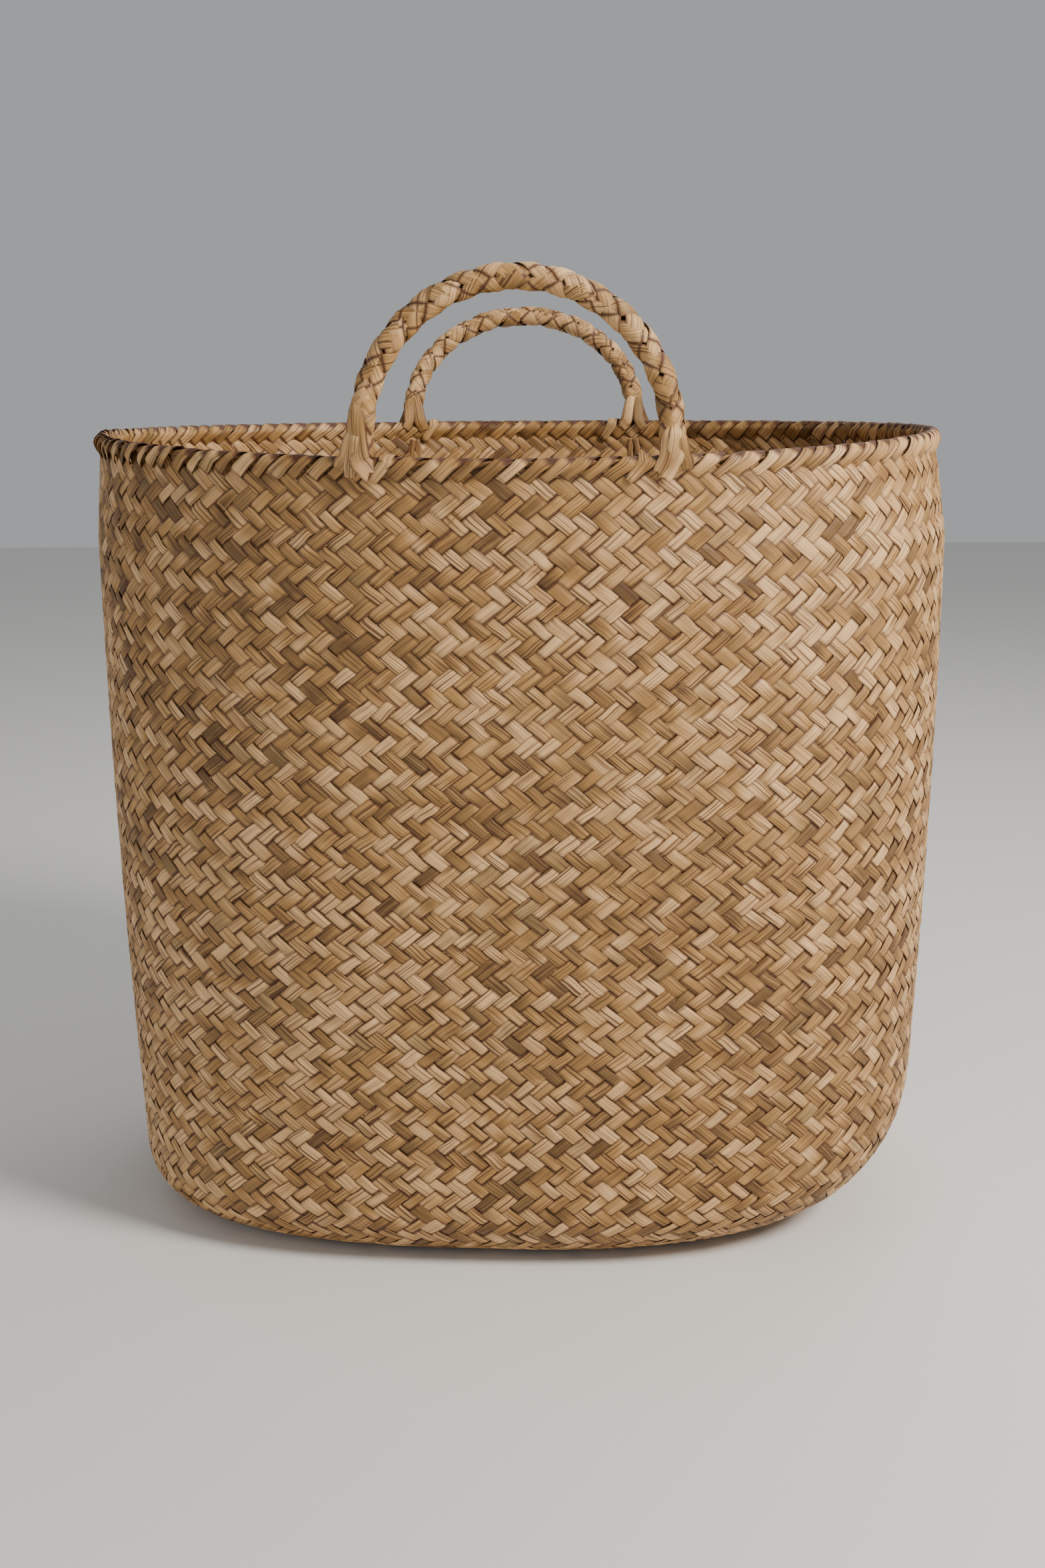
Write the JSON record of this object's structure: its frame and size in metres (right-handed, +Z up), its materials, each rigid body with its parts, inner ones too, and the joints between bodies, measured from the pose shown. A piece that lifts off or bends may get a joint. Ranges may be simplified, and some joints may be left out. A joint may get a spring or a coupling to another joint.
{
  "type": "plaited basket",
  "caption": "Tall oval basket plaited from flat leaf strips, with a folded rim and two stiff rope handles that tilt.",
  "frame": {"origin": "on the floor under the middle of the rim, at the base's flat underside", "axes": "+Z up, +X to the basket's right along its long side, -Y its front; the front handle stands on the -Y side"},
  "size_m": [0.434, 0.3842, 0.4792],
  "materials": {
    "plait": "dry split leaf, satin with fine lengthwise fibres",
    "rim": "dry split leaf, satin with fine lengthwise fibres",
    "handle": "dry split leaf, satin, plaited over a cord",
    "cord": "twisted dry leaf fibre, matt"
  },
  "bodies": {
    "basket": {"base_panel": "plait", "base_turn": "plait", "wall": "plait", "rim_cord": "cord", "rim_fold": "rim", "inner_hem": "rim", "front_left_root": "handle", "front_left_lashing": "handle", "front_left_tail": "cord", "front_right_root": "handle", "front_right_lashing": "handle", "front_right_tail": "cord", "back_left_root": "handle", "back_left_lashing": "handle", "back_left_tail": "cord", "back_right_root": "handle", "back_right_lashing": "handle", "back_right_tail": "cord"},
    "front_handle": {"front_handle_sleeve": "handle", "front_handle_core": "cord"},
    "back_handle": {"back_handle_sleeve": "handle", "back_handle_core": "cord"}
  },
  "joints": [
    {"name": "front_handle_tilt", "type": "hinge", "parent": "basket", "child": "front_handle", "pos_m": [0, -0.16668, 0.40524], "axis": [1, 0, 0], "range_deg": [-60, 75]},
    {"name": "back_handle_tilt", "type": "hinge", "parent": "basket", "child": "back_handle", "pos_m": [0, 0.16699, 0.4134], "axis": [1, 0, 0], "range_deg": [-41, 94]}
  ]
}
